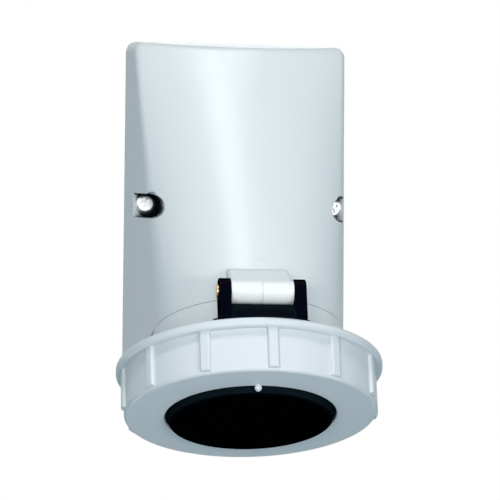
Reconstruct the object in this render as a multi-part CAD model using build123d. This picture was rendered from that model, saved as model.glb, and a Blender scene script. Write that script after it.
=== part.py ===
from build123d import *
import math
import os

# Industrial wall socket, 63 A, splash-proof, with a hinged lid and a bayonet locking ring.
# Units are millimetres. X runs to the right, +Y into the wall and +Z up.
# The origin is the centre of the back face, which lies flat on the wall.
# The outlet leans forward out of the straight-down direction. Its own frame has X to the right,
# Y towards the front and Z outwards along the outlet, with Z = 0 where the collar meets the cover.

# Housing
housing_margin = 9.0
housing_height = 153.2
tray_depth = 11.0
housing_wall = 3.0
tray_floor = 3.0
corner_radius = 5.0
cover_top_slope = 15.0

# Outlet position
outlet_tilt = 18.0
outlet_reach = 54.7

# Front face of the cover: depths from the wall along the cross-sections at the top and half way up
top_corner_depth = 16.5
top_centre_depth = 31.0
top_blend_radius = 6.5
mid_corner_depth = 44.0
mid_centre_depth = 67.5
mid_blend_radius = 16.0
nose_blend_angle = 32.0

# Collar and plug recess
collar_wall = 3.5
collar_length = 31.8
nose_step = 0.3
lug_reach = 7.5
lug_length = 4.0
lug_width_angle = 24.0
lug_end_gap = 6.5
lug_angles = (75.0, 180.0, 285.0)
keyway_angle = 9.0
collar_edge = 0.6
keyway_depth = 1.6

# Contact carrier
contact_radius = 18.5
insert_rim = 11.5
plug_gap = 7.5
ledge_width = 1.0
ledge_height = 2.6
lip_width = 1.1
clamp_plate = 2.8
clamp_play = 0.2
insert_recess = 3.8
insert_back = 14.0
insert_play = 0.3
phase_pin = 8.0
earth_pin = 10.0
pilot_pin = 5.0
sleeve_wall = 1.8
sleeve_slot = 0.8
mouth_play = 0.5
contact_play = 0.1
pin_play = 0.05
sleeve_setback = 1.5
sleeve_depth = 27.0
slot_share = 0.6
shank_radius = 3.0
rear_plate = 5.0
rear_inset = 1.0
terminal_size = 13.0
terminal_length = 15.0
pilot_terminal_size = 8.0
terminal_rounding = 0.1
wire_stop = 2.0
wire_hole = 8.0
pilot_wire_hole = 3.4
terminal_screw_radius = 2.6
pilot_screw_radius = 1.3
clamp_start_share = 0.6
clamp_proud_share = 0.4
clamp_slot_share = 0.35
clamp_slot_depth_share = 0.3
insert_screw_inset = 6.0
insert_screw_angles = (72.0, 288.0)
insert_screw_head = 2.9
insert_screw_head_height = 1.8
insert_screw_radius = 1.6
insert_screw_bite = 12.0

# Screws
cover_screw_inset = 8.3
cover_screw_height = 0.6
cover_screw_radius = 2.0
cover_screw_head = 4.3
cover_screw_head_height = 2.6
cover_screw_tip_gap = 1.0
cover_screw_turn = 20.0
pocket_floor = 6.0
pocket_play = 1.0
pocket_drop = 0.4
pocket_fall_angle = 7.5
pocket_wall = 2.2
pillar_radius = 4.2
collar_screw_radius = 1.45
collar_screw_head = 2.7
collar_screw_head_height = 1.6
collar_screw_bite = 7.0
collar_screw_angles = (60.0, 120.0, 240.0, 300.0)
screw_clearance = 0.25
boss_wall = 2.0
boss_height = 5.0
recess_width = 1.1
recess_depth = 1.2
recess_reach = 1.15
head_rounding = 0.6

# Fixing holes and cable entry in the tray floor
wall_hole_side_inset = 15.0
wall_hole_end_inset = 20.6
wall_hole_radius = 2.75
entry_inset = 28.6
entry_radius = 16.0
entry_bore = 11.0
grommet_lip = 2.5
grommet_skin = 1.6

# Seals
seal_width = 1.4
seal_depth = 1.2
collar_seal_width = 1.8
seal_play = 0.05

# Bayonet ring
ring_clearance = 2.0
ring_wall = 3.3
ring_rim_width = 3.2
ring_rim_height = 3.8
ring_skirt = 2.0
ring_plate = 2.0
ring_proud = 0.3
ring_hole = 36.5
ring_edge_radius = 1.4
ring_rim_edge = 1.2
ring_hole_edge = 0.5
rib_count = 12
rib_offset_angle = 3.5
rib_height = 1.5
rib_width = 4.6
rib_end_gap = 1.2
rib_edge = 1.0
ring_lug_clearance = 4.2
ring_lug_length = 3.0
ring_lug_gap = 1.0
ring_lug_width_angle = 20.0
ring_unlock_angle = 35.0
snap_bite = 0.8
snap_height = 1.4
snap_gap = 0.3
pointer_angle = -2.0
pointer_radius = 1.5
pointer_stem = 1.2
pointer_inset = 0.4
pointer_rise = 1.0
pointer_depth = 0.35
pointer_gap = 0.25

# Lid
lid_gap = 0.2
lid_flange_inset = 1.8
lid_disc = 2.2
lid_hub_clearance = 0.4
hub_ledge = 1.3
plateau_rise = 3.3
plateau_edge = 1.0
lid_seal_lap_inside = 0.7
lid_seal_lap_outside = 1.0
lid_seal_sink = 0.9
lid_seal_height = 1.2
tongue_half_angle = 24.0
arm_flange_height = 2.8
tongue_thickness = 3.6
tongue_clearance = 0.7

# Hinge
hinge_inset = 2.5
hinge_drop = 0.8
knuckle_radius = 5.0
knuckle_gap = 0.25
knuckle_groove_width = 0.5
knuckle_groove_depth = 0.25
ear_gap = 26.6
ear_thickness = 4.8
ear_rise = 0.6
ear_edge = 0.4
hood_meets_front = 13.9
hood_edge_radius = 2.0
bar_clearance = 0.9
bar_behind = 4.5
bar_ahead = 5.0
bar_ridge = 1.0
bar_back_fall = 2.8
bar_front_fall = 5.4
bar_gap = 0.5
pin_radius = 2.0
pin_head_radius = 3.0
pin_head_height = 0.9
pin_gap = 0.05
pin_end_wall = 0.8
pin_end_edge = 0.4
spring_bore = 3.5
spring_wire_radius = 0.45
spring_turns = 8
bearing_length = 4.5
bush_length = 4.0

# Values that follow from the sizes above
past = 1.0
eps = 0.01
far = 300.0
top_z = housing_height / 2
bottom_z = -housing_height / 2
collar_bore = contact_radius + insert_rim + plug_gap
collar_radius = collar_bore + collar_wall
housing_width = 2 * (collar_radius + housing_margin)
half_width = housing_width / 2
tilt = math.radians(outlet_tilt)
nose_radius = collar_radius - nose_step
nose_centre = outlet_reach / math.cos(tilt)
side_reach = math.hypot(half_width, nose_centre)
side_angle = math.atan2(half_width, nose_centre) - math.asin(nose_radius / side_reach)
draft_slope = math.tan(side_angle) / math.cos(tilt)
outlet_z = bottom_z + outlet_reach * math.tan(tilt)
cover_screw_spread = half_width - cover_screw_inset
pocket_floor_depth = tray_depth + pocket_floor
pocket_radius = cover_screw_head + pocket_play
wall_hole_spread = housing_width - 2 * wall_hole_side_inset
wall_hole_rise = housing_height - 2 * wall_hole_end_inset
entry_height = top_z - entry_inset
insert_radius = contact_radius + insert_rim
insert_screw_spread = insert_radius - insert_screw_inset
ledge_radius = insert_radius + ledge_width
lip_radius = collar_bore - lip_width
recess_floor = ledge_height + clamp_plate
insert_face = collar_length - insert_recess
collar_screw_circle = (insert_radius + collar_bore) / 2
collar_seal_radius = (lip_radius + collar_radius) / 2
lug_start = collar_length - lug_end_gap - lug_length
seal_face = collar_length + lid_gap
lid_inner_face = seal_face + lid_seal_height
lid_outer_face = lid_inner_face + lid_disc
lid_seal_inner = collar_bore - lid_seal_lap_inside
lid_seal_outer = collar_radius + lid_seal_lap_outside
ring_lug_start = lug_start - ring_lug_gap - ring_lug_length
ring_lug_inner = collar_radius + ring_lug_clearance
ring_start = ring_lug_start - ring_skirt
ring_wall_inner = collar_radius + lug_reach + ring_clearance
ring_wall_outer = ring_wall_inner + ring_wall
ring_rim_radius = ring_wall_outer + ring_rim_width
ring_plate_top = lid_outer_face + lid_gap
ring_end = ring_plate_top + ring_plate
ring_hole_face = ring_end + ring_proud
hub_radius = ring_hole - lid_hub_clearance
hub_face = ring_hole_face - pointer_depth - pointer_gap
plateau_radius = hub_radius - hub_ledge
plateau_face = hub_face + plateau_rise
tongue_outer = ring_wall_inner - tongue_clearance
tongue_inner = tongue_outer - tongue_thickness
lid_flange = tongue_outer - lid_flange_inset
snap_inner = lid_flange - snap_bite
hinge_front = ring_wall_inner - hinge_inset
knuckle_length = ear_gap - 2 * knuckle_gap
ear_radius = knuckle_radius + ear_rise
ear_outer = ear_gap / 2 + ear_thickness
bar_top = hinge_drop + knuckle_radius + bar_clearance
bar_back = hinge_front - bar_behind
bar_bottom = ring_start - bar_gap
spring_radius = (pin_radius + spring_bore) / 2
contact_angles = {"earth": 180.0, "l1": 108.0, "l2": 36.0, "l3": 324.0, "n": 252.0}
pin_bores = {name: phase_pin / 2 for name in ("l1", "l2", "l3", "n")}
pin_bores["earth"] = earth_pin / 2
pin_bores["pilot"] = pilot_pin / 2

outlet = Plane(
    origin=(0, -outlet_reach, outlet_z),
    x_dir=(1, 0, 0),
    z_dir=(0, -math.sin(tilt), -math.cos(tilt)),
)


def polar(radius, angle):
    """Point of the outlet frame at an angle from the front, positive towards +X."""
    turn = math.radians(angle)
    return (radius * math.sin(turn), radius * math.cos(turn))


def disc(radius, low, high):
    """Cylinder of the outlet frame between two heights."""
    return Pos(0, 0, low) * Cylinder(radius, high - low, align=(Align.CENTER, Align.CENTER, Align.MIN))


def rod(radius, low, high, angle, circle):
    """Cylinder of the outlet frame, off its axis."""
    x, y = polar(circle, angle)
    return Pos(x, y, 0) * disc(radius, low, high)


def sector(inner, outer, low, high, centre, width):
    """Piece of a ring between two radii and two heights, around an angle from the front."""
    start = 90.0 - centre - width / 2
    with BuildSketch() as face:
        with BuildLine():
            a = CenterArc((0, 0), outer, start, width)
            b = CenterArc((0, 0), inner, start, width)
            Line(a @ 0, b @ 0)
            Line(a @ 1, b @ 1)
        make_face()
    return Pos(0, 0, low) * extrude(face.sketch, amount=high - low)


def front_section(depth_plane, slope, corner, centre, blend, inset):
    """Cross-section of the cover in a plane that leans by slope degrees, seen along the plane."""
    lean = math.atan(draft_slope * math.cos(math.radians(slope)))
    along = (-math.sin(lean), math.cos(lean))
    inward = (-math.cos(lean), -math.sin(lean))
    xc = half_width - math.tan(lean) * corner
    radius = (xc**2 + (centre - corner) ** 2) / (2 * (centre - corner))
    arc_y = centre - radius
    base = (half_width + blend * inward[0], blend * inward[1])
    dx = base[0]
    dy = base[1] - arc_y
    b = dx * along[0] + dy * along[1]
    c = dx**2 + dy**2 - (radius - blend) ** 2
    t = -b + math.sqrt(b**2 - c)
    gx = base[0] + t * along[0]
    gy = base[1] + t * along[1]
    reach = math.hypot(gx, gy - arc_y)
    out = (gx / reach, (gy - arc_y) / reach)
    return section_face(depth_plane, (gx, gy), blend, inward, (0, arc_y), radius, out, inset)


def nose_section(depth_plane, inset):
    """Cross-section at the collar: a half circle with straight legs tangent to it."""
    inward = (-math.cos(side_angle), -math.sin(side_angle))
    turn = math.radians(nose_blend_angle)
    out = (math.cos(turn), math.sin(turn))
    centre = (0, nose_centre)
    return section_face(depth_plane, centre, nose_radius, inward, centre, nose_radius, out, inset)


def section_face(depth_plane, corner_centre, blend, inward, arc_centre, radius, out, inset):
    """Closed outline from the back line over two legs, two corner arcs and the front arc."""
    gx, gy = corner_centre
    r = blend - inset
    leg_end = (gx - r * inward[0], gy - r * inward[1])
    share = leg_end[1] / inward[0]
    leg_start = (leg_end[0] + share * inward[1], 0)
    front_start = (arc_centre[0] + (radius - inset) * out[0], arc_centre[1] + (radius - inset) * out[1])
    mid = (out[0] - inward[0], out[1] - inward[1])
    length = math.hypot(*mid)
    arc_mid = (gx + r * mid[0] / length, gy + r * mid[1] / length)
    front_mid = (0, arc_centre[1] + radius - inset)

    def flip(point):
        return (-point[0], point[1])

    edges = [
        Line(leg_start, leg_end),
        ThreePointArc(leg_end, arc_mid, front_start),
        ThreePointArc(front_start, front_mid, flip(front_start)),
        ThreePointArc(flip(front_start), flip(arc_mid), flip(leg_end)),
        Line(flip(leg_end), flip(leg_start)),
        Line(flip(leg_start), leg_start),
    ]
    return depth_plane * Face(Wire(edges))


def leaning_plane(height, slope):
    """Plane through the wall line at a height, with Y along its fall or rise to the front."""
    lean = math.radians(slope)
    return Plane(
        origin=(0, 0, height),
        x_dir=(1, 0, 0),
        z_dir=(0, -math.sin(lean), -math.cos(lean)),
    )


def cover_top_height():
    """Height at which the cover's top face would meet the wall."""
    return top_z - tray_depth * draft_slope + tray_depth * math.tan(math.radians(cover_top_slope))


def hood_body(inset):
    """Solid under the cover's outer surface, or under a surface inset from it."""
    bottom = nose_section(leaning_plane(bottom_z, outlet_tilt), inset)
    middle_plane = leaning_plane((bottom_z + cover_top_height()) / 2, 0)
    middle = front_section(middle_plane, 0, mid_corner_depth, mid_centre_depth, mid_blend_radius, inset)
    top_plane = leaning_plane(cover_top_height(), -cover_top_slope)
    slope = cover_top_slope
    top = front_section(top_plane, slope, top_corner_depth, top_centre_depth, top_blend_radius, inset)
    return loft([bottom, middle, top])


def slab(low, high):
    """Wide plate of the outlet frame between two heights."""
    return Pos(0, 0, low) * Box(far, far, high - low, align=(Align.CENTER, Align.CENTER, Align.MIN))


def place(shape):
    """Move a shape from the outlet frame into the part's frame."""
    return outlet.location * shape


def forward(sketch, start, end):
    """Extrude a sketch in X and Z between two depths in front of the wall."""
    return extrude(Plane.XZ.offset(start) * sketch, amount=end - start)


def revolved(points, rounded):
    """Turn a profile of radius and height points, with some corners rounded, about the outlet axis."""
    face = make_face(Polyline(*points, close=True))
    for radius, corners in rounded.items():
        spots = [face.vertices().sort_by_distance((points[i][0], points[i][1], 0))[0] for i in corners]
        face = fillet(spots, radius)
    return revolve(Plane.XZ * face, Axis.Z)


def across(points, half):
    """Extrude a profile of front and height points sideways, to both sides of the middle."""
    side = Plane(origin=(-half, 0, 0), x_dir=(0, 1, 0), z_dir=(1, 0, 0))
    return extrude(side * make_face(Polyline(*points, close=True)), amount=2 * half)


def hinge_rod(radius, start, end):
    """Cylinder on the hinge axis between two X positions."""
    return Pos(start, hinge_front, hinge_drop) * Rot(0, 90, 0) * disc(radius, 0, end - start)


def tray_outline(depth, inset):
    """Outline of the tray at a depth in front of the wall, with the two top corners rounded."""
    x = half_width - draft_slope * depth - inset
    high = top_z - draft_slope * depth - inset
    low = bottom_z + math.tan(tilt) * depth + inset
    face = make_face(Polyline((-x, low), (x, low), (x, high), (-x, high), close=True))
    tops = face.vertices().sort_by(Axis.Y)[-2:]
    return fillet(tops, corner_radius - inset)


def tray_block(start, end, inset):
    """Tapered solid between two depths in front of the wall."""
    back = Plane.XZ.offset(start) * tray_outline(start, inset)
    front = Plane.XZ.offset(end) * tray_outline(end, inset)
    return loft([back.faces()[0], front.faces()[0]], ruled=True)


def seal_ring(inset, width, start, end):
    """Frame that follows the outline at the tray's rim."""
    return forward(tray_outline(tray_depth, inset) - tray_outline(tray_depth, inset + width), start, end)


def back_box():
    """Tray on the wall, with pillars for the cover screws, fixing holes and the cable entry."""
    body = tray_block(0, tray_depth, 0)
    body = body - tray_block(tray_floor, tray_depth + past, housing_wall)
    for side in (-1, 1):
        post = Pos(side * cover_screw_spread, cover_screw_height) * Circle(pillar_radius)
        bore = Pos(side * cover_screw_spread, cover_screw_height) * Circle(cover_screw_radius + pin_gap)
        post = forward(post, tray_floor / 2, tray_depth)
        body = body + (post & tray_block(0, tray_depth, housing_wall / 2))
        body = body - forward(bore, tray_floor, tray_depth + past)
        for rise in (-1, 1):
            hole = Pos(side * wall_hole_spread / 2, rise * wall_hole_rise / 2) * Circle(wall_hole_radius)
            body = body - forward(hole, -past, tray_floor + past)
    body = body - forward(Pos(0, entry_height) * Circle(entry_radius), -past, tray_floor + past)
    groove = (housing_wall - seal_width) / 2
    return body - seal_ring(groove, seal_width, tray_depth - seal_depth, tray_depth + past)


def box_gasket():
    """Cord seal in the groove of the tray's rim."""
    inset = (housing_wall - seal_width) / 2 + seal_play
    return seal_ring(inset, seal_width - 2 * seal_play, tray_depth - seal_depth, tray_depth)


def entry_grommet():
    """Rubber grommet in the cable entry, with a lip inside the tray."""
    spot = Pos(0, entry_height)
    body = forward(spot * Circle(entry_radius - seal_play), grommet_skin / 2, tray_floor)
    body = body + forward(spot * Circle(entry_radius + grommet_lip), tray_floor, tray_floor + grommet_skin)
    return body - forward(spot * Circle(entry_bore), -past, tray_floor + grommet_skin + past)


def pocket(side, grow, start):
    """Slot for a screw, round at its inner end and open to the side, that falls towards its mouth."""
    radius = pocket_radius + grow
    spot = Pos(side * cover_screw_spread, 0)
    outward = Pos(side * half_width / 2, 0)
    outline = spot * Circle(radius) + spot * outward * Rectangle(half_width, 2 * radius)
    fall = math.radians(pocket_fall_angle)
    middle = Plane(
        origin=(0, -pocket_floor_depth, cover_screw_height - pocket_drop),
        x_dir=(1, 0, 0),
        z_dir=(0, -math.cos(fall), -math.sin(fall)),
    )
    slot = extrude(middle * outline, amount=far, both=True)
    return slot & forward(Rectangle(far, far), start, far)


def hinge_hood():
    """Knuckle of the hinge with the hood that joins it to the front of the cover."""
    foot_f = front_line(-hood_meets_front)
    df = foot_f - hinge_front
    ds = -hood_meets_front - hinge_drop
    reach = math.hypot(df, ds)
    turn = math.atan2(ds, df) + math.acos(knuckle_radius / reach)
    touch = (hinge_front + knuckle_radius * math.cos(turn), hinge_drop + knuckle_radius * math.sin(turn))
    deep = nose_radius - knuckle_length / 2
    half = knuckle_length / 2
    points = [touch, (foot_f, -hood_meets_front), (deep, -hood_meets_front), (deep, 0), (hinge_front, 0)]
    points.append((hinge_front, hinge_drop))
    web = across(points, half)
    middle = ((touch[0] + foot_f) / 2, (touch[1] - hood_meets_front) / 2)
    tops = [web.edges().sort_by_distance((x, *middle))[0] for x in (-half, half)]
    web = fillet(tops, hood_edge_radius)
    middle = knuckle_groove_width / 2
    groove = hinge_rod(knuckle_radius + past, -middle, middle)
    groove = groove - hinge_rod(knuckle_radius - knuckle_groove_depth, -past, past)
    return web + (hinge_rod(knuckle_radius, -half, half) - groove)


def front_line(height):
    """Distance of the cover's front from the outlet axis, between its nose and its middle section."""
    middle_f, middle_s = to_outlet((-mid_centre_depth, (bottom_z + cover_top_height()) / 2))
    return nose_radius + (middle_f - nose_radius) * height / middle_s


def to_outlet(point):
    """Front and height of a point in the outlet frame, from its Y and Z."""
    y = point[0] + outlet_reach
    z = point[1] - outlet_z
    return (-y * math.cos(tilt) + z * math.sin(tilt), -y * math.sin(tilt) - z * math.cos(tilt))


def cover_cavity():
    """Hollow of the cover, less the screw pockets' walls and the screw bosses of the collar."""
    cavity = hood_body(housing_wall) - place(slab(-housing_wall, far))
    top_plane = leaning_plane(cover_top_height(), -cover_top_slope)
    cavity = cavity - top_plane.location * slab(-far, housing_wall)
    for side in (-1, 1):
        cavity = cavity - pocket(side, pocket_wall, tray_depth)
    for angle in collar_screw_angles:
        radius = collar_screw_radius + boss_wall
        boss = rod(radius, -housing_wall - boss_height, 0, angle, collar_screw_circle)
        cavity = cavity - place(boss)
    return cavity


def front_cover():
    """Hollow cover with the hinge knuckle, the screw pockets and the floor that carries the collar."""
    body = hood_body(0)
    top_edges = body.faces().sort_by(Axis.Z)[-1].edges().sort_by(Axis.Y)[:-1]
    body = fillet(top_edges, corner_radius)
    body = body - forward(Rectangle(far, far), -far, tray_depth)
    body = body + place(hinge_hood())
    body = body - cover_cavity()
    for side in (-1, 1):
        body = body - pocket(side, 0, pocket_floor_depth)
        spot = Pos(side * cover_screw_spread, cover_screw_height)
        hole = spot * Circle(cover_screw_radius + screw_clearance)
        body = body - forward(hole, 0, far)
    body = body - place(disc(insert_radius + insert_play, -housing_wall - past, past))
    low = -housing_wall - boss_height - past
    for angle in collar_screw_angles:
        body = body - place(rod(collar_screw_radius + pin_gap, low, past, angle, collar_screw_circle))
    half = knuckle_length / 2
    body = body - place(hinge_rod(pin_radius + pin_gap, -half - past, half + past))
    return body - place(hinge_rod(spring_bore, -half - past, half - bearing_length))


def screw(radius, head_radius, head_height, bite):
    """Pan head screw along Z: the head stands on Z = 0 and the shank goes down to -bite."""
    head = disc(head_radius, 0, head_height)
    head = fillet(head.edges().sort_by(Axis.Z)[-1:], head_height * head_rounding)
    reach = head_radius * recess_reach
    cross = Box(reach, recess_width, recess_depth) + Box(recess_width, reach, recess_depth)
    body = head + disc(radius, -bite, 0)
    return body - Pos(0, 0, head_height - recess_depth / 2) * cross


def cover_screw(side):
    """Cover screw in its pocket, from the cover into the pillar of the tray."""
    bite = pocket_floor_depth - tray_floor - cover_screw_tip_gap
    body = screw(cover_screw_radius, cover_screw_head, cover_screw_head_height, bite)
    seat = (side * cover_screw_spread, -pocket_floor_depth, cover_screw_height)
    spot = Plane(origin=seat, z_dir=(0, -1, 0))
    return spot.location * Rot(0, 0, cover_screw_turn * side) * body


def outlet_collar():
    """Collar of the outlet: a tube with three bayonet lugs, a keyway and a lip at its foot."""
    body = disc(collar_radius, 0, collar_length)
    body = chamfer(body.edges().filter_by(GeomType.CIRCLE), collar_edge)
    tip = collar_radius + lug_reach
    lug_end = lug_start + lug_length
    for angle in lug_angles:
        body = body + sector(collar_bore + past, tip, lug_start, lug_end, angle, lug_width_angle)
    body = body - disc(collar_bore, ledge_height, far)
    body = body - disc(lip_radius, -past, far)
    keyway_bottom = collar_bore + keyway_depth
    body = body - sector(collar_bore - past, keyway_bottom, recess_floor, far, 180, keyway_angle)
    groove = disc(collar_seal_radius + collar_seal_width / 2, -past, seal_depth)
    body = body - (groove - disc(collar_seal_radius - collar_seal_width / 2, -past, seal_depth))
    return place(body)


def clamp_ring():
    """Ring in the bottom of the plug recess that clamps the collar's lip and the carrier's ledge."""
    body = disc(collar_bore - clamp_play, ledge_height, recess_floor)
    body = body + disc(lip_radius - clamp_play, 0, ledge_height)
    body = body - disc(ledge_radius + clamp_play, -past, ledge_height)
    body = body - disc(insert_radius + clamp_play, -past, far)
    radius = collar_screw_radius + screw_clearance
    for angle in collar_screw_angles:
        body = body - rod(radius, -past, recess_floor + past, angle, collar_screw_circle)
    return place(body)


def collar_gasket():
    """Flat seal in the groove under the collar."""
    half = collar_seal_width / 2 - seal_play
    body = disc(collar_seal_radius + half, 0, seal_depth)
    return place(body - disc(collar_seal_radius - half, -past, far))


def collar_screw(angle):
    """Screw through the clamp ring into the cover."""
    x, y = polar(collar_screw_circle, angle)
    bite = recess_floor + collar_screw_bite
    body = screw(collar_screw_radius, collar_screw_head, collar_screw_head_height, bite)
    return place(Pos(x, y, recess_floor) * body)


def contact_spot(name):
    """Position and outward direction of a contact in the outlet frame."""
    if name == "pilot":
        return Pos(0, 0, 0)
    x, y = polar(contact_radius, contact_angles[name])
    return Pos(x, y, 0) * Rot(0, 0, 90 - contact_angles[name])


def insert_front():
    """Insulating contact carrier: a round body with a narrow ledge that the clamp ring holds."""
    body = disc(insert_radius, -insert_back, insert_face)
    body = chamfer(body.edges().filter_by(GeomType.CIRCLE).sort_by(Axis.Z)[-1:], collar_edge)
    body = body + disc(ledge_radius, 0, ledge_height)
    radius = insert_screw_radius + pin_gap
    deep = insert_screw_bite + past - insert_back
    for angle in insert_screw_angles:
        body = body - rod(radius, -insert_back - past, deep, angle, insert_screw_spread)
    for name, bore in pin_bores.items():
        spot = contact_spot(name)
        body = body - spot * disc(bore + mouth_play, 0, far)
        body = body - spot * disc(bore + sleeve_wall + contact_play, -far, insert_face - sleeve_setback)
    return place(body)


def insert_rear():
    """Plate behind the carrier that holds the contact sleeves in place."""
    body = disc(insert_radius - rear_inset, -insert_back - rear_plate, -insert_back)
    for name in pin_bores:
        body = body - contact_spot(name) * disc(shank_radius + contact_play, -far, 0)
    for angle in insert_screw_angles:
        body = body - rod(insert_screw_radius + screw_clearance, -far, 0, angle, insert_screw_spread)
    return place(body)


def insert_screw(angle):
    """Screw that holds the rear plate to the carrier, driven from behind."""
    x, y = polar(insert_screw_spread, angle)
    length = rear_plate + insert_screw_bite
    body = screw(insert_screw_radius, insert_screw_head, insert_screw_head_height, length)
    return place(Pos(x, y, -insert_back - rear_plate) * Rot(180, 0, 0) * body)


def contact(name):
    """Brass sleeve for a pin, with its shank and terminal block behind the carrier."""
    bore = pin_bores[name]
    mouth = insert_face - sleeve_setback
    block_top = -insert_back - rear_plate
    pilot = name == "pilot"
    size = pilot_terminal_size if pilot else terminal_size
    wire = pilot_wire_hole / 2 if pilot else wire_hole / 2
    thread = pilot_screw_radius if pilot else terminal_screw_radius
    body = disc(bore + sleeve_wall, -insert_back, mouth)
    body = body + disc(shank_radius, block_top - past, -insert_back)
    hanging = (Align.CENTER, Align.CENTER, Align.MAX)
    block = Pos(0, 0, block_top) * Box(size, size, terminal_length, align=hanging)
    body = body + fillet(block.edges().filter_by(Axis.Z), size * terminal_rounding)
    body = body - disc(bore + pin_play, mouth - sleeve_depth, far)
    for turn in (0, 90):
        slot = Box(sleeve_slot, 4 * bore, sleeve_depth * slot_share, align=hanging)
        body = body - Pos(0, 0, mouth + eps) * Rot(0, 0, turn) * slot
    body = body - disc(wire, block_top - terminal_length - past, block_top - wire_stop)
    hole = Pos(0, 0, block_top - terminal_length / 2) * Rot(0, 90, 0) * disc(thread, 0, size)
    return place(contact_spot(name) * (body - hole))


def terminal_screw(name):
    """Slotted clamping screw in the side of a terminal block."""
    pilot = name == "pilot"
    size = pilot_terminal_size if pilot else terminal_size
    wire = pilot_wire_hole / 2 if pilot else wire_hole / 2
    thread = pilot_screw_radius if pilot else terminal_screw_radius
    start = wire * clamp_start_share
    end = size / 2 + thread * clamp_proud_share
    body = disc(thread - pin_gap, start, end)
    body = body - Pos(0, 0, end) * Box(thread * clamp_slot_share, far, 2 * thread * clamp_slot_depth_share)
    height = -insert_back - rear_plate - terminal_length / 2
    return place(contact_spot(name) * Pos(0, 0, height) * Rot(0, 90, 0) * body)


def lid():
    """Black lid: a disc with a raised middle, and the arm with two ears that carries it."""
    body = disc(lid_flange, lid_inner_face, lid_outer_face)
    body = body + disc(hub_radius, lid_inner_face, hub_face)
    plateau = disc(plateau_radius, lid_inner_face, plateau_face)
    body = body + fillet(plateau.edges().sort_by(Axis.Z)[-1:], plateau_edge)
    body = body - disc(hub_radius - lid_disc, lid_inner_face - past, hub_face - lid_disc)
    body = body - disc(plateau_radius - lid_disc, lid_inner_face - past, plateau_face - lid_disc)
    groove = disc(lid_seal_outer + seal_play, 0, lid_inner_face + lid_seal_sink)
    body = body - (groove - disc(lid_seal_inner - seal_play, 0, far))
    width = 2 * tongue_half_angle
    foot = bar_bottom - arm_flange_height
    body = body + sector(tongue_inner, tongue_outer, foot, lid_outer_face, 0, width)
    body = body + sector(bar_back, tongue_outer, bar_bottom - arm_flange_height, bar_bottom, 0, width)
    bar_front = hinge_front + bar_ahead
    bar = [(bar_back, bar_bottom), (bar_back, bar_top + bar_back_fall), (hinge_front + bar_ridge, bar_top)]
    bar += [(bar_front, bar_top + bar_front_fall), (bar_front, bar_bottom)]
    body = body + across(bar, ear_gap / 2 + past)
    ear = [(hinge_front - ear_radius, hinge_drop), (hinge_front + ear_radius, hinge_drop)]
    ear += [(hinge_front + ear_radius, bar_bottom), (bar_back, bar_bottom)]
    ears = across(ear, ear_outer) + hinge_rod(ear_radius, -ear_outer, ear_outer)
    sides = ears.faces().sort_by(Axis.X)
    ears = fillet(sides[0].edges() + sides[-1].edges(), ear_edge)
    gap = [(0, -far), (far, -far), (far, bar_bottom + past), (0, bar_bottom + past)]
    ears = ears - across(gap, ear_gap / 2)
    body = body + ears
    body = body - hinge_rod(pin_radius + pin_gap, -far, ear_outer - pin_end_wall)
    return place(body)


def lid_gasket():
    """Rubber ring in the lid that closes on the end of the collar."""
    high = lid_inner_face + lid_seal_sink
    return place(disc(lid_seal_outer, seal_face, high) - disc(lid_seal_inner, 0, far))


def bayonet_ring():
    """Locking ring that turns on the lid, with grip ribs outside and lugs inside."""
    points = [
        (ring_wall_inner, ring_start),
        (ring_rim_radius, ring_start),
        (ring_rim_radius, ring_start + ring_rim_height),
        (ring_wall_outer, ring_start + ring_rim_height),
        (ring_wall_outer, ring_end),
        (ring_hole, ring_hole_face),
        (ring_hole, ring_plate_top),
        (ring_wall_inner, ring_plate_top),
    ]
    body = revolved(points, {ring_rim_edge: (1, 2), ring_edge_radius: (4,), ring_hole_edge: (5,)})
    height = ring_end - rib_end_gap - ring_start - ring_rim_height + past
    block = Box(rib_width, rib_height + past, height, align=(Align.CENTER, Align.MIN, Align.MAX))
    outside = block.faces().sort_by(Axis.Y)[-1]
    block = fillet(outside.edges().sort_by(Axis.Z)[1:], rib_edge)
    for index in range(rib_count):
        turn = Rot(0, 0, -rib_offset_angle - 360 / rib_count * index)
        body = body + turn * Pos(0, ring_wall_outer - past, ring_end - rib_end_gap) * block
    root = ring_wall_inner + past
    top = ring_lug_start + ring_lug_length
    snap = lid_inner_face - snap_gap
    for angle in lug_angles:
        rest = angle - ring_unlock_angle
        body = body + sector(ring_lug_inner, root, ring_lug_start, top, rest, ring_lug_width_angle)
        body = body + sector(snap_inner, root, snap - snap_height, snap, rest, ring_lug_width_angle)
    pointer = disc(pointer_stem, -pointer_depth, pointer_rise)
    knob = Pos(0, 0, pointer_rise) * Sphere(pointer_radius)
    pointer = pointer + (knob & slab(-pointer_depth, far))
    pointer = Pos(0, ring_hole + pointer_inset, ring_hole_face) * pointer
    return place(body + Rot(0, 0, -pointer_angle) * pointer)


def hinge_pin():
    """Brass pin of the hinge, with a head at the left and a blind end in the right ear."""
    end = ear_outer - pin_end_wall - pin_gap
    body = hinge_rod(pin_radius, -ear_outer - eps, end)
    body = chamfer(body.edges().sort_by(Axis.X)[-1:], pin_end_edge)
    head = hinge_rod(pin_head_radius, -ear_outer - pin_head_height, -ear_outer)
    return place(body + fillet(head.edges().sort_by(Axis.X)[:1], pin_head_height / 2))


def hinge_bush():
    """Bush that closes the spring chamber of the knuckle and carries the pin."""
    start = -knuckle_length / 2
    body = hinge_rod(spring_bore - pin_gap, start, start + bush_length)
    return place(body - hinge_rod(pin_radius + pin_gap, start - past, start + bush_length + past))


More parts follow.
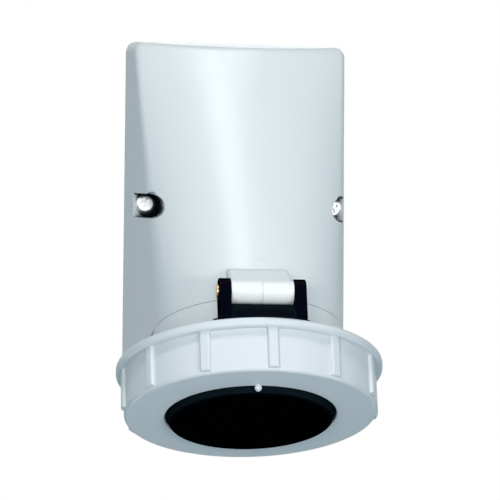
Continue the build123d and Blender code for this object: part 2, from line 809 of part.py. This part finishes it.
def hinge_spring():
    """Torsion spring on the pin, inside the knuckle."""
    start = -knuckle_length / 2 + bush_length
    room = knuckle_length - bush_length - bearing_length
    height = room - 2 * spring_wire_radius - 2 * pin_gap
    path = Helix(height / spring_turns, height, spring_radius)
    wire = Plane(origin=path @ 0, z_dir=path % 0) * Circle(spring_wire_radius)
    coil = sweep(wire, path=path, is_frenet=True)
    lift = start + spring_wire_radius + pin_gap
    return place(Pos(lift, hinge_front, hinge_drop) * Rot(0, 90, 0) * coil)


def main():
    os.makedirs("parts", exist_ok=True)
    nodes = {
        "back_box": back_box(),
        "box_gasket": box_gasket(),
        "entry_grommet": entry_grommet(),
        "front_cover": front_cover(),
        "cover_screw_left": cover_screw(-1),
        "cover_screw_right": cover_screw(1),
        "outlet_collar": outlet_collar(),
        "collar_gasket": collar_gasket(),
        "clamp_ring": clamp_ring(),
        "insert_front": insert_front(),
        "insert_rear": insert_rear(),
        "lid": lid(),
        "lid_gasket": lid_gasket(),
        "bayonet_ring": bayonet_ring(),
        "hinge_pin": hinge_pin(),
        "hinge_bush": hinge_bush(),
        "hinge_spring": hinge_spring(),
    }
    for index, angle in enumerate(collar_screw_angles, 1):
        nodes[f"collar_screw_{index}"] = collar_screw(angle)
    for index, angle in enumerate(insert_screw_angles, 1):
        nodes[f"insert_screw_{index}"] = insert_screw(angle)
    for name in pin_bores:
        nodes[f"contact_{name}"] = contact(name)
        nodes[f"terminal_screw_{name}"] = terminal_screw(name)
    for name, shape in nodes.items():
        shape.label = name
        export_step(shape, f"parts/{name}.step")


main()
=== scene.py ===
# %% [markdown]
# # Industrial wall socket
# This file dresses a finished construction model of a splash-proof wall socket. The solids come
# in as a fixed frame, so nothing here changes a shape or a size. What is left to do is what a
# photographer and a mould maker care about: plastics, brass and zinc, a camera and soft light.
# All lengths are in metres.

# %% Load the frame
import bpy
import math
from mathutils import Matrix, Vector


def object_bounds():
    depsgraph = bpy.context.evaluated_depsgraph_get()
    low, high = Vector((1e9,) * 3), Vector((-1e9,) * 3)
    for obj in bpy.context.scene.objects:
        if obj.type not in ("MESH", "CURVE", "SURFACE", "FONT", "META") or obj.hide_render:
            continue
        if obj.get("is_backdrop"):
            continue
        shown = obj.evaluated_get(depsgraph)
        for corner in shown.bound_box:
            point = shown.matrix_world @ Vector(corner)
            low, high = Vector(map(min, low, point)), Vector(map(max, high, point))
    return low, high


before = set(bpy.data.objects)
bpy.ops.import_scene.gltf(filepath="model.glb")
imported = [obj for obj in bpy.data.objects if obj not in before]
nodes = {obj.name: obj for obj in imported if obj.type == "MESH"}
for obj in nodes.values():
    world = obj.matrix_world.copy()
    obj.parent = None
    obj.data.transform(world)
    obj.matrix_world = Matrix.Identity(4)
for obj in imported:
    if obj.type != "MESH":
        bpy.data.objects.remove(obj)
low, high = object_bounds()
scene = bpy.context.scene

# %% [markdown]
# ## The camera
# The picture was taken from a little to the left and from below the outlet, with a long lens.
# A camera in Blender looks along its own -Z, so its rotation is built from three directions:
# right, up and back. A small roll is added, because the picture is not quite level.

# %% Camera
camera_spot = Vector((-0.1420, -1.2253, -0.1401))
camera_azimuth = math.radians(6.944)
camera_rise = math.radians(5.687)
camera_roll = math.radians(0.45)
forward = Vector((
    math.sin(camera_azimuth) * math.cos(camera_rise),
    math.cos(camera_azimuth) * math.cos(camera_rise),
    math.sin(camera_rise),
))
level = Vector((math.cos(camera_azimuth), -math.sin(camera_azimuth), 0.0))
upright = level.cross(forward)
right = level * math.cos(camera_roll) + upright * math.sin(camera_roll)
up = upright * math.cos(camera_roll) - level * math.sin(camera_roll)

camera_data = bpy.data.cameras.new("camera")
camera_data.sensor_width = 36.0
camera_data.lens = 197.8
camera_data.clip_start = 0.05
camera_data.clip_end = 50.0
camera = bpy.data.objects.new("camera", camera_data)
turned = Matrix((right, up, -forward)).transposed().to_4x4()
camera.matrix_world = Matrix.Translation(camera_spot) @ turned
scene.collection.objects.link(camera)
scene.camera = camera
print("camera looks along", [round(c, 3) for c in forward])

# %% [markdown]
# ## Node helpers
# The world and every material are graphs of nodes. Two small helpers keep the code that builds
# them readable: one adds a node with its properties, the other adds a sum whose two sides may be
# numbers or the outputs of other nodes.


# %% Node helpers
def add(tree, kind, **settings):
    """New node with its properties."""
    node = tree.nodes.new(kind)
    for key, value in settings.items():
        setattr(node, key, value)
    return node


def math_node(tree, operation, first, second, clamp=False):
    """Math node fed by sockets or numbers; returns its output socket."""
    node = add(tree, "ShaderNodeMath", operation=operation, use_clamp=clamp)
    for socket, source in zip(node.inputs, (first, second)):
        if isinstance(source, (int, float)):
            socket.default_value = source
        else:
            tree.links.new(source, socket)
    return node.outputs[0]


print("helpers", add.__name__, math_node.__name__)

# %% [markdown]
# ## World
# The background of the picture is plain white. A world that lit the socket with that white would
# wash out its pale plastic, so the world has two faces. Rays that come straight from the camera,
# or by way of a mirror or glass, see white, and all other rays see a weak cool fill, which gives
# the shaded sides their bluish grey.

# %% World
white_colour = (1.0, 1.0, 1.0, 1.0)
white_strength = 1.0
fill_colour = (0.24, 0.74, 1.0, 1.0)
fill_strength = 0.15

world = bpy.data.worlds.new("studio")
scene.world = world
world.use_nodes = True
web = world.node_tree
web.nodes.clear()
rays = add(web, "ShaderNodeLightPath")
seen = math_node(web, "MAXIMUM", rays.outputs["Is Camera Ray"], rays.outputs["Is Glossy Ray"])
white_share = math_node(web, "MAXIMUM", seen, rays.outputs["Is Transmission Ray"])
mix = add(web, "ShaderNodeMixShader")
web.links.new(white_share, mix.inputs["Fac"])
for slot, colour, strength in ((1, fill_colour, fill_strength), (2, white_colour, white_strength)):
    face = add(web, "ShaderNodeBackground")
    face.inputs["Color"].default_value = colour
    face.inputs["Strength"].default_value = strength
    web.links.new(face.outputs[0], mix.inputs[slot])
out = add(web, "ShaderNodeOutputWorld")
web.links.new(mix.outputs[0], out.inputs["Surface"])
print("world fill", fill_strength)

# %% [markdown]
# ## Soft boxes
# Five square area lights stand round the socket, and none of them shows in the picture. Two of
# nearly the same strength in front, to the left and right, light the curved face evenly, the
# smaller right one a little from below, to round the hinge. A weak one in front fills, one
# overhead gives the bright band down the middle, and one behind keeps the back from going dark.
# Together they stay low enough for the pale grey to keep its colour.


# %% Soft boxes
def soft_box(name, spot, aim, size, level_at_aim, colour):
    """Square area light whose strength is given as the brightness of a white card at its aim."""
    data = bpy.data.lights.new(name, "AREA")
    data.shape = "SQUARE"
    data.size = size
    data.color = colour
    distance = (Vector(aim) - Vector(spot)).length
    data.energy = level_at_aim * math.pi**2 * distance**2
    lamp = bpy.data.objects.new(name, data)
    lamp.location = spot
    lamp.rotation_mode = "QUATERNION"
    lamp.rotation_quaternion = (Vector(aim) - Vector(spot)).to_track_quat("-Z", "Y")
    lamp.visible_camera = False
    scene.collection.objects.link(lamp)
    print(name, round(data.energy, 2), "W")


aim = (0.0, -0.05, 0.0)
daylight = (1.0, 0.995, 0.985)
warm_white = (1.0, 0.985, 0.965)
soft_box("right_box", (0.62, -1.45, -0.19), aim, 0.20, 0.26, daylight)
soft_box("left_box", (-0.55, -1.45, 0.0), aim, 0.35, 0.30, daylight)
soft_box("front_box", (0.0, -1.60, 0.0), aim, 0.35, 0.09, daylight)
soft_box("top_box", (-0.18, -0.60, 1.45), aim, 0.38, 0.37, warm_white)
soft_box("back_box", (0.30, 1.50, 0.50), aim, 0.60, 0.15, daylight)

# %% [markdown]
# ## Shader groups
# The same effects turn up on nearly every surface, so each one is a node group with named inputs,
# made once and placed in each material with its own values. They read the object's own
# coordinates, in metres, so a pattern stays on a piece when the piece moves.


# %% Group helpers
def new_group(name, inputs, outputs):
    """Empty shader node group with its sockets, as (group, input node, output node)."""
    group = bpy.data.node_groups.new(name, "ShaderNodeTree")
    for label, value in inputs:
        socket = group.interface.new_socket(label, in_out="INPUT", socket_type="NodeSocketFloat")
        socket.default_value = value
    for label, kind in outputs:
        group.interface.new_socket(label, in_out="OUTPUT", socket_type=kind)
    return group, group.nodes.new("NodeGroupInput"), group.nodes.new("NodeGroupOutput")


VALUE = "NodeSocketFloat"
VECTOR = "NodeSocketVector"
print("socket kinds", VALUE, VECTOR)

# %% [markdown]
# ### Soft edges
# No moulded edge is perfectly sharp. The Bevel node looks round the corner and gives a rounded
# normal, and where that normal leaves the true one there is an edge, which is also where hands
# polish a surface. Both come out of one group.

# %% Soft edges group
soft_edges, source, sink = new_group(
    "soft edges",
    [("Radius", 0.0004), ("Contrast", 3.0)],
    [("Normal", VECTOR), ("Edge", VALUE)],
)
bevel = add(soft_edges, "ShaderNodeBevel", samples=6)
soft_edges.links.new(source.outputs["Radius"], bevel.inputs["Radius"])
geometry = add(soft_edges, "ShaderNodeNewGeometry")
facing = add(soft_edges, "ShaderNodeVectorMath", operation="DOT_PRODUCT")
soft_edges.links.new(bevel.outputs[0], facing.inputs[0])
soft_edges.links.new(geometry.outputs["Normal"], facing.inputs[1])
turned = math_node(soft_edges, "SUBTRACT", 1.0, facing.outputs["Value"])
edge = math_node(soft_edges, "MULTIPLY", turned, source.outputs["Contrast"], clamp=True)
soft_edges.links.new(bevel.outputs[0], sink.inputs["Normal"])
soft_edges.links.new(edge, sink.inputs["Edge"])
print("group", soft_edges.name)

# %% [markdown]
# ### Moulded skin
# Injection moulded plastic has a fine spark-eroded grain and, under it, a slow waviness where the
# wall shrank. The group adds two noises of very different size and puts out a height in metres.

# %% Moulded skin group
moulded_skin, source, sink = new_group(
    "moulded skin",
    [
        ("Grain Scale", 2500.0), ("Grain Height", 0.000004),
        ("Wave Scale", 28.0), ("Wave Height", 0.00003),
    ],
    [("Height", VALUE)],
)
place = add(moulded_skin, "ShaderNodeTexCoord")
heights = []
for label, detail in (("Grain", 2.0), ("Wave", 1.0)):
    noise = add(moulded_skin, "ShaderNodeTexNoise")
    noise.inputs["Detail"].default_value = detail
    moulded_skin.links.new(place.outputs["Object"], noise.inputs["Vector"])
    moulded_skin.links.new(source.outputs[label + " Scale"], noise.inputs["Scale"])
    size = source.outputs[label + " Height"]
    heights.append(math_node(moulded_skin, "MULTIPLY", noise.outputs["Fac"], size))
total = math_node(moulded_skin, "ADD", *heights)
moulded_skin.links.new(total, sink.inputs["Height"])
print("group", moulded_skin.name)

# %% [markdown]
# ### Tone
# Plastic is never one colour all over: the pigment flows in faint clouds, and handling leaves
# slightly glossier or duller places. One slow noise for the clouds and one finer noise for the
# marks are enough, and each material decides how much of them shows.

# %% Tone group
tone, source, sink = new_group(
    "tone",
    [("Cloud Scale", 18.0), ("Mark Scale", 160.0)],
    [("Clouds", VALUE), ("Marks", VALUE)],
)
place = add(tone, "ShaderNodeTexCoord")
for label, detail, stretch in (("Cloud", 3.0, 0.3), ("Mark", 6.0, 1.2)):
    noise = add(tone, "ShaderNodeTexNoise")
    noise.inputs["Detail"].default_value = detail
    noise.inputs["Distortion"].default_value = stretch
    tone.links.new(place.outputs["Object"], noise.inputs["Vector"])
    tone.links.new(source.outputs[label + " Scale"], noise.inputs["Scale"])
    tone.links.new(noise.outputs["Fac"], sink.inputs[label + "s"])
print("group", tone.name)

# %% [markdown]
# ### Corner dust
# Fine dust settles where two walls meet and where a screw sits in its pocket. Ambient occlusion
# tells how closed in a point is, and a noise breaks the dust up.

# %% Corner dust group
dust_patch_scale = 300.0
corner_dust, source, sink = new_group(
    "corner dust", [("Reach", 0.003), ("Amount", 1.0)], [("Dust", VALUE)]
)
closed = add(corner_dust, "ShaderNodeAmbientOcclusion", samples=6)
corner_dust.links.new(source.outputs["Reach"], closed.inputs["Distance"])
place = add(corner_dust, "ShaderNodeTexCoord")
patches = add(corner_dust, "ShaderNodeTexNoise")
patches.inputs["Scale"].default_value = dust_patch_scale
corner_dust.links.new(place.outputs["Object"], patches.inputs["Vector"])
shut = math_node(corner_dust, "SUBTRACT", 1.0, closed.outputs["AO"])
broken = math_node(corner_dust, "MULTIPLY", shut, patches.outputs["Fac"])
dust = math_node(corner_dust, "MULTIPLY", broken, source.outputs["Amount"], clamp=True)
corner_dust.links.new(dust, sink.inputs["Dust"])
print("group", corner_dust.name)

# %% [markdown]
# ### Points that are closed in
# Far inside a narrow pocket hardly any light reaches, so the plastic there gets a painted shadow
# that looks almost black. Only points that are closed in on nearly every side count: the mask
# cuts off the open part of the ambient occlusion and stretches the rest. A height limit keeps it
# off thin seams. The start can come down towards the middle of the part, so the painted shadow
# lies on the inner half of each screw pocket, while the outer half, open at the side, stays light.
# A function adds the nodes, because the gloss needs this mask too, and the specular level
# shouldn't be fed by a group.

# %% Closed in points
pocket_middle = 0.0415
pocket_blend = 250.0
everywhere = -1.0
nowhere = 1.0


def closed_in(tree, reach, start, gain, above, inward):
    """Mask of the points that are closed in, from sockets or numbers; returns its output socket."""
    closed = add(tree, "ShaderNodeAmbientOcclusion", samples=8)
    if isinstance(reach, float):
        closed.inputs["Distance"].default_value = reach
    else:
        tree.links.new(reach, closed.inputs["Distance"])
    shut = math_node(tree, "SUBTRACT", 1.0, closed.outputs["AO"])
    place = add(tree, "ShaderNodeTexCoord")
    parts = add(tree, "ShaderNodeSeparateXYZ")
    tree.links.new(place.outputs["Object"], parts.inputs[0])
    aside = math_node(tree, "ABSOLUTE", parts.outputs["X"], 0.0)
    inside = math_node(tree, "SUBTRACT", pocket_middle, aside)
    inner_half = math_node(tree, "MULTIPLY", inside, pocket_blend, clamp=True)
    eased = math_node(tree, "MULTIPLY", inner_half, inward)
    eased_start = math_node(tree, "SUBTRACT", start, eased)
    deeper = math_node(tree, "SUBTRACT", shut, eased_start)
    stretched = math_node(tree, "MULTIPLY", deeper, gain, clamp=True)
    high_enough = math_node(tree, "GREATER_THAN", parts.outputs["Z"], above)
    return math_node(tree, "MULTIPLY", stretched, high_enough)


print("screw pockets at", pocket_middle, "m from the middle")

# %% [markdown]
# ### Deep shade
# The mask becomes a group, so that each plastic and metal can set its own reach and gain. With the
# values below it is the painted shadow deep in a pocket. With a low start and a small gain it gives
# the painted soft shade where two pieces come close.

# %% Deep shade group
pocket_shadow_reach = 0.018
pocket_shadow_start = 0.52
pocket_shadow_gain = 12.0
pocket_shadow_inward = 0.34
shade_inputs = [
    ("Reach", pocket_shadow_reach), ("Start", pocket_shadow_start), ("Gain", pocket_shadow_gain),
    ("Above", everywhere), ("Inward", 0.0),
]
deep_shade, source, sink = new_group("deep shade", shade_inputs, [("Painted Shadow", VALUE)])
# Painted shadow: this mask darkens the colour where light hardly reaches.
painted_shadow = closed_in(deep_shade, *[source.outputs[label] for label, value in shade_inputs])
deep_shade.links.new(painted_shadow, sink.inputs["Painted Shadow"])
print("group", deep_shade.name)

# %% [markdown]
# ### Painted knuckle light
# The hinge knuckle gets painted light: its colour turns brighter, and the painted shade of nearby
# parts stays off it. The knuckle stands in front of the sloping face, and the dot product of the
# position with the face's direction tells how far.

# %% Painted knuckle light group
face_direction = (0.0, -1.0, 0.559)
knuckle_light, source, sink = new_group(
    "painted knuckle light", [("Start", 0.0684), ("Gain", 700.0)], [("Painted Light", VALUE)]
)
place = add(knuckle_light, "ShaderNodeTexCoord")
ahead = add(knuckle_light, "ShaderNodeVectorMath", operation="DOT_PRODUCT")
ahead.inputs[1].default_value = face_direction
knuckle_light.links.new(place.outputs["Object"], ahead.inputs[0])
beyond = math_node(knuckle_light, "SUBTRACT", ahead.outputs["Value"], source.outputs["Start"])
painted_light = math_node(knuckle_light, "MULTIPLY", beyond, source.outputs["Gain"], clamp=True)
knuckle_light.links.new(painted_light, sink.inputs["Painted Light"])
print("group", knuckle_light.name)

# %% [markdown]
# ## Groups in a material
# Each finish below is a Principled BSDF with the groups in front of it. One helper places a group
# with its values, and the other mixes two colours by a mask. The mix node has sockets of the same
# name for numbers, vectors and colours, so the colour ones are picked by their type.


# %% Place a group in a material
def place_group(tree, group, **values):
    """Group node in a material, with the values of its named inputs."""
    node = add(tree, "ShaderNodeGroup", node_tree=group)
    for key, value in values.items():
        node.inputs[key.replace("_", " ")].default_value = value
    return node


def blend_colours(tree, factor, first, second):
    """Mix of two colours, each a socket or a tuple, by a factor socket; returns the result."""
    node = add(tree, "ShaderNodeMix", data_type="RGBA")
    tree.links.new(factor, node.inputs["Factor"])
    for label, source in (("A", first), ("B", second)):
        socket = [s for s in node.inputs if s.name == label and s.type == "RGBA"][0]
        if isinstance(source, tuple):
            socket.default_value = source
        else:
            tree.links.new(source, socket)
    return [s for s in node.outputs if s.type == "RGBA"][0]


print("groups", len(bpy.data.node_groups))

# %% [markdown]
# ## Material and relief
# A grain of a few thousandths of a millimetre is far too fine for a mesh, so a Bump node tilts the
# normals instead. Its height is in metres and its distance is one, so the relief is as deep as the
# numbers say. It starts from the rounded normal of the soft edges.


# %% New material and its relief
def new_material(name):
    """Material with a Principled BSDF, as (material, tree, shader)."""
    material = bpy.data.materials.new(name)
    material.use_nodes = True
    return material, material.node_tree, material.node_tree.nodes["Principled BSDF"]


def add_relief(tree, shader, height, normal):
    """Bump from a height in metres, on top of a soft edge normal."""
    bump = add(tree, "ShaderNodeBump")
    bump.inputs["Strength"].default_value = 1.0
    bump.inputs["Distance"].default_value = 1.0
    tree.links.new(height, bump.inputs["Height"])
    tree.links.new(normal, bump.inputs["Normal"])
    tree.links.new(bump.outputs["Normal"], shader.inputs["Normal"])


print("materials so far", len(bpy.data.materials))

# %% [markdown]
# ## Gloss
# A surface is never equally glossy all over. The marks of handling move the roughness up and down,
# and worn edges are smoother. Plastic that is seen at a slant mirrors the white studio strongly,
# which a photographer avoids with a flag or a filter: here the specular level falls with the
# slant, and to nothing under the painted shadow in a pocket.

# %% Gloss
edge_smoothing = 0.5


def uneven_gloss(tree, shader, tones, roughness, spread, edges=None):
    """Roughness that moves by spread either way with the marks, and is lower on worn edges."""
    marks = math_node(tree, "MULTIPLY", tones.outputs["Marks"], 2.0 * spread)
    rough = math_node(tree, "ADD", marks, roughness - spread)
    if edges:
        smoother = math_node(tree, "MULTIPLY", edges.outputs["Edge"], edge_smoothing * spread)
        rough = math_node(tree, "SUBTRACT", rough, smoother, clamp=True)
    tree.links.new(rough, shader.inputs["Roughness"])


def hold_back_glare(tree, shader, specular, glare_cut, shadow_above):
    """Specular level that falls with the slant, and to nothing under painted shadow above a height.
    """
    slant = add(tree, "ShaderNodeLayerWeight")
    cut = math_node(tree, "MULTIPLY", slant.outputs["Facing"], glare_cut)
    level = math_node(tree, "SUBTRACT", specular, cut, clamp=True)
    if shadow_above < nowhere:
        # Under the painted shadow in a pocket the gloss goes as well.
        shadow_mask = closed_in(tree, pocket_shadow_reach, pocket_shadow_start, pocket_shadow_gain, shadow_above, pocket_shadow_inward)
        level = math_node(tree, "MULTIPLY", level, math_node(tree, "SUBTRACT", 1.0, shadow_mask))
    tree.links.new(level, shader.inputs["Specular IOR Level"])


print("edges are smoother by", edge_smoothing, "of the spread")

# %% [markdown]
# ## Plastics
# The housing, the ring, the lid and the contact carrier are all plastic, but not alike. A recipe
# function takes the colour, how far it may drift, the gloss and the grain, so that each plastic
# below is a few numbers that can be compared. Grain, wave and edge radius are in metres.

# %% Plastic recipe
dust_colour = (0.46, 0.47, 0.46, 1.0)
# The colour of the painted shade where two parts come close.
shade_colour = (0.26, 0.34, 0.37, 1.0)
# The colour of the painted shadow deep in a pocket.
painted_shadow_colour = (0.005, 0.011, 0.014, 1.0)
shade_reach = 0.016
shade_start = 0.06
shade_share = 0.6
edge_share = 0.5


def plastic(
    name, colour, drift, edge_colour, roughness, spread, grain, wave, edge_radius, dusty,
    specular=0.5, shade=0.0, shadow_above=everywhere, glare_cut=0.0, knuckle_light_colour=None, glint=None,
):
    """Moulded plastic with clouds, marks, polished edges, grain, dust, painted shade and painted
    light.
    """
    material, tree, shader = new_material(name)
    edges = place_group(tree, soft_edges, Radius=edge_radius)
    tones = place_group(tree, tone)
    skin = place_group(tree, moulded_skin, Grain_Height=grain, Wave_Height=wave)
    dirt = place_group(tree, corner_dust, Amount=dusty)
    near = place_group(tree, deep_shade, Reach=shade_reach, Start=shade_start, Gain=shade)
    deep = place_group(tree, deep_shade, Above=shadow_above, Inward=pocket_shadow_inward)
    base = blend_colours(tree, tones.outputs["Clouds"], colour, drift)
    # Painted shade where another part comes close.
    shadiness = math_node(tree, "MULTIPLY", near.outputs["Painted Shadow"], shade_share)
    # Painted light on the hinge knuckle: a brighter colour, with no painted shade on it.
    if knuckle_light_colour:
        rubbed_and_lit = place_group(tree, knuckle_light)
        base = blend_colours(tree, rubbed_and_lit.outputs["Painted Light"], base, knuckle_light_colour)
        knuckle_unlit = math_node(tree, "SUBTRACT", 1.0, rubbed_and_lit.outputs["Painted Light"])
        shadiness = math_node(tree, "MULTIPLY", shadiness, knuckle_unlit)
    wear = math_node(tree, "MULTIPLY", edges.outputs["Edge"], edge_share)
    worn = blend_colours(tree, wear, base, edge_colour)
    dusted = blend_colours(tree, dirt.outputs["Dust"], worn, dust_colour)
    shaded = blend_colours(tree, shadiness, dusted, shade_colour)
    # Painted shadow deep in a pocket.
    deep_shadowed = blend_colours(tree, deep.outputs["Painted Shadow"], shaded, painted_shadow_colour)
    tree.links.new(deep_shadowed, shader.inputs["Base Color"])
    uneven_gloss(tree, shader, tones, roughness, spread, edges)
    shader.inputs["Specular IOR Level"].default_value = specular
    if glint:
        shader.inputs["Specular Tint"].default_value = glint
    if glare_cut:
        hold_back_glare(tree, shader, specular, glare_cut, shadow_above)
    add_relief(tree, shader, skin.outputs["Height"], edges.outputs["Normal"])
    print("plastic", name)
    return material


# %% [markdown]
# ### Grey plastics and the lid
# The housing and the ring are nearly the same cool light grey. The housing has a painted shadow in
# its screw pockets and painted light on its hinge knuckle, and the ring is coarser and a shade
# bluer. The lid is a glossy black with a navy glint.

# %% Grey plastics and the lid
housing_plastic = plastic(
    "housing plastic", colour=(0.80, 0.835, 0.845, 1.0), drift=(0.83, 0.86, 0.868, 1.0),
    edge_colour=(0.87, 0.895, 0.90, 1.0), roughness=0.34, spread=0.06,
    grain=0.0000022, wave=0.000035, edge_radius=0.0005, dusty=0.25, specular=0.40,
    shade=0.9, shadow_above=-0.03, glare_cut=0.40, knuckle_light_colour=(1.0, 1.0, 0.995, 1.0),
)
ring_plastic = plastic(
    "ring plastic", colour=(0.77, 0.805, 0.83, 1.0), drift=(0.80, 0.832, 0.855, 1.0),
    edge_colour=(0.86, 0.885, 0.90, 1.0), roughness=0.38, spread=0.07,
    grain=0.0000035, wave=0.00003, edge_radius=0.0005, dusty=0.25, specular=0.45,
    shade=0.4, shadow_above=nowhere, glare_cut=0.40,
)
lid_plastic = plastic(
    "lid plastic", colour=(0.0004, 0.0005, 0.0010, 1.0), drift=(0.0007, 0.0009, 0.0016, 1.0),
    edge_colour=(0.002, 0.0025, 0.006, 1.0), roughness=0.14, spread=0.04,
    grain=0.000003, wave=0.00002, edge_radius=0.0004, dusty=0.0, specular=0.09,
    glare_cut=0.165, glint=(0.22, 0.26, 1.0, 1.0),
)

# %% [markdown]
# ### Inner plastics and rubber
# Inside, the contact carrier is a matt black thermoset that stands heat, the bush in the hinge a
# pale bearing plastic, and the seals and the cable grommet a soft black rubber.

# %% Inner plastics and rubber
carrier_plastic = plastic(
    "carrier plastic", colour=(0.017, 0.017, 0.019, 1.0), drift=(0.024, 0.024, 0.026, 1.0),
    edge_colour=(0.05, 0.05, 0.052, 1.0), roughness=0.48, spread=0.08,
    grain=0.000006, wave=0.00002, edge_radius=0.0003, dusty=0.10,
)
bush_plastic = plastic(
    "bush plastic", colour=(0.76, 0.77, 0.77, 1.0), drift=(0.80, 0.81, 0.80, 1.0),
    edge_colour=(0.83, 0.84, 0.84, 1.0), roughness=0.45, spread=0.05,
    grain=0.000002, wave=0.00001, edge_radius=0.0002, dusty=0.2,
)
seal_rubber = plastic(
    "seal rubber", colour=(0.012, 0.012, 0.013, 1.0), drift=(0.02, 0.02, 0.021, 1.0),
    edge_colour=(0.04, 0.04, 0.042, 1.0), roughness=0.66, spread=0.08,
    grain=0.000009, wave=0.00003, edge_radius=0.0003, dusty=0.25, specular=0.35,
)

# %% [markdown]
# ## Metals
# The pin and the contacts are turned from brass bar, and turning leaves fine rings along the bar.
# The screws are zinc plated, with a slightly cloudy bright surface, and a painted shadow darkens
# the bottom of their crosses. A wave texture makes the rings, and the groups of the plastics make
# the tarnish, the worn edges and the painted shadow.


# %% Metal recipe
metal_edge_radius = 0.00015
ring_distortion = 0.6


def metal(name, colour, tarnish, roughness, spread, ring_scale, ring_height):
    """Metal with clouded tarnish, worn edges, painted shadow in recesses and fine turning marks."""
    material, tree, shader = new_material(name)
    shader.inputs["Metallic"].default_value = 1.0
    edges = place_group(tree, soft_edges, Radius=metal_edge_radius)
    tones = place_group(tree, tone, Cloud_Scale=90.0, Mark_Scale=600.0)
    # Painted shadow in the bottom of small recesses such as a screw's cross.
    deep = place_group(tree, deep_shade, Reach=0.0010, Start=0.38, Gain=1.0)
    base = blend_colours(tree, tones.outputs["Clouds"], colour, tarnish)
    rubbed_and_lit = blend_colours(tree, edges.outputs["Edge"], base, colour)
    deep_shadowed = blend_colours(tree, deep.outputs["Painted Shadow"], rubbed_and_lit, painted_shadow_colour)
    tree.links.new(deep_shadowed, shader.inputs["Base Color"])
    uneven_gloss(tree, shader, tones, roughness, spread)
    place = add(tree, "ShaderNodeTexCoord")
    rings = add(tree, "ShaderNodeTexWave", wave_type="BANDS", bands_direction="X")
    rings.inputs["Scale"].default_value = ring_scale
    rings.inputs["Distortion"].default_value = ring_distortion
    tree.links.new(place.outputs["Object"], rings.inputs["Vector"])
    height = math_node(tree, "MULTIPLY", rings.outputs["Fac"], ring_height)
    add_relief(tree, shader, height, edges.outputs["Normal"])
    print("metal", name)
    return material


pin_brass = metal(
    "pin brass", colour=(0.80, 0.60, 0.28, 1.0), tarnish=(0.55, 0.38, 0.17, 1.0),
    roughness=0.26, spread=0.08, ring_scale=500.0, ring_height=0.000004,
)
screw_zinc = metal(
    "screw zinc", colour=(0.95, 0.955, 0.96, 1.0), tarnish=(0.86, 0.87, 0.885, 1.0),
    roughness=0.42, spread=0.06, ring_scale=350.0, ring_height=0.000002,
)

# %% [markdown]
# ## Who wears what
# Each solid keeps its shape and gets one finish. The table reads like a parts list: first what a
# name starts with, then the finish. The first line that fits counts, so the longer names stand
# first, and what is left at the end are screws and the spring.

# %% Dress the solids
finishes = [
    ("front_cover", housing_plastic),
    ("back_box", housing_plastic),
    ("outlet_collar", housing_plastic),
    ("bayonet_ring", ring_plastic),
    ("lid_gasket", seal_rubber),
    ("lid", lid_plastic),
    ("insert_screw", screw_zinc),
    ("insert_", carrier_plastic),
    ("box_gasket", seal_rubber),
    ("collar_gasket", seal_rubber),
    ("entry_grommet", seal_rubber),
    ("clamp_ring", carrier_plastic),
    ("contact_", pin_brass),
    ("hinge_pin", pin_brass),
    ("hinge_bush", bush_plastic),
    ("", screw_zinc),
]
for name, piece in nodes.items():
    finish = next(material for start, material in finishes if name.startswith(start))
    piece.data.materials.clear()
    piece.data.materials.append(finish)
print("dressed", len(nodes), "solids")

# %% [markdown]
# ## Floor paint
# The floor throws a cool light back onto the underside of the socket, so its paint is a middling
# bluish grey. For the camera it glows a little, so that it stays pale in the views from above, and
# from below it is clear, so that it hides nothing.

# %% Floor paint
floor_colour = (0.50, 0.59, 0.63, 1.0)
floor_drift = (0.53, 0.615, 0.655, 1.0)
floor_cloud_scale = 3.0
floor_roughness = 0.8
glow_colour = (0.93, 0.94, 0.945, 1.0)
glow_share = 0.72

floor_material, tree, shader = new_material("floor paint")
place = add(tree, "ShaderNodeTexCoord")
cloud = add(tree, "ShaderNodeTexNoise")
cloud.inputs["Scale"].default_value = floor_cloud_scale
tree.links.new(place.outputs["Object"], cloud.inputs["Vector"])
paint = blend_colours(tree, cloud.outputs["Fac"], floor_colour, floor_drift)
tree.links.new(paint, shader.inputs["Base Color"])
shader.inputs["Roughness"].default_value = floor_roughness
glow = add(tree, "ShaderNodeEmission")
glow.inputs["Color"].default_value = glow_colour
path = add(tree, "ShaderNodeLightPath")
share = math_node(tree, "MULTIPLY", path.outputs["Is Camera Ray"], glow_share)
sides = add(tree, "ShaderNodeNewGeometry")
clear = add(tree, "ShaderNodeBsdfTransparent")
surface = shader.outputs["BSDF"]
for factor, other in ((share, glow), (sides.outputs["Backfacing"], clear)):
    mixed = add(tree, "ShaderNodeMixShader")
    tree.links.new(factor, mixed.inputs["Fac"])
    tree.links.new(surface, mixed.inputs[1])
    tree.links.new(other.outputs[0], mixed.inputs[2])
    surface = mixed.outputs[0]
tree.links.new(surface, tree.nodes["Material Output"].inputs["Surface"])
print("floor glows by", glow_share)

# %% [markdown]
# ## Floor
# The socket hangs on a wall that the picture doesn't show. A plane well below it catches its soft
# shadow in the views from above, and the camera of the picture, which looks up, never sees it.

# %% Floor
floor_drop = 0.22
floor_size = 6.0
bpy.ops.mesh.primitive_plane_add(size=floor_size, location=(0.0, 0.0, low.z - floor_drop))
floor = bpy.context.object
floor.name = "floor"
floor.data.materials.append(floor_material)
floor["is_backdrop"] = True
print("floor at", round(floor.location.z, 3))

# %% [markdown]
# ## Colours as written
# The Standard view shows a colour as it is written, with no film curve on top.

# %% View and sizes
scene.view_settings.view_transform = "Standard"
low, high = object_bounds()
print("visual box in mm", [round((b - a) * 1000, 1) for a, b in zip(low, high)])
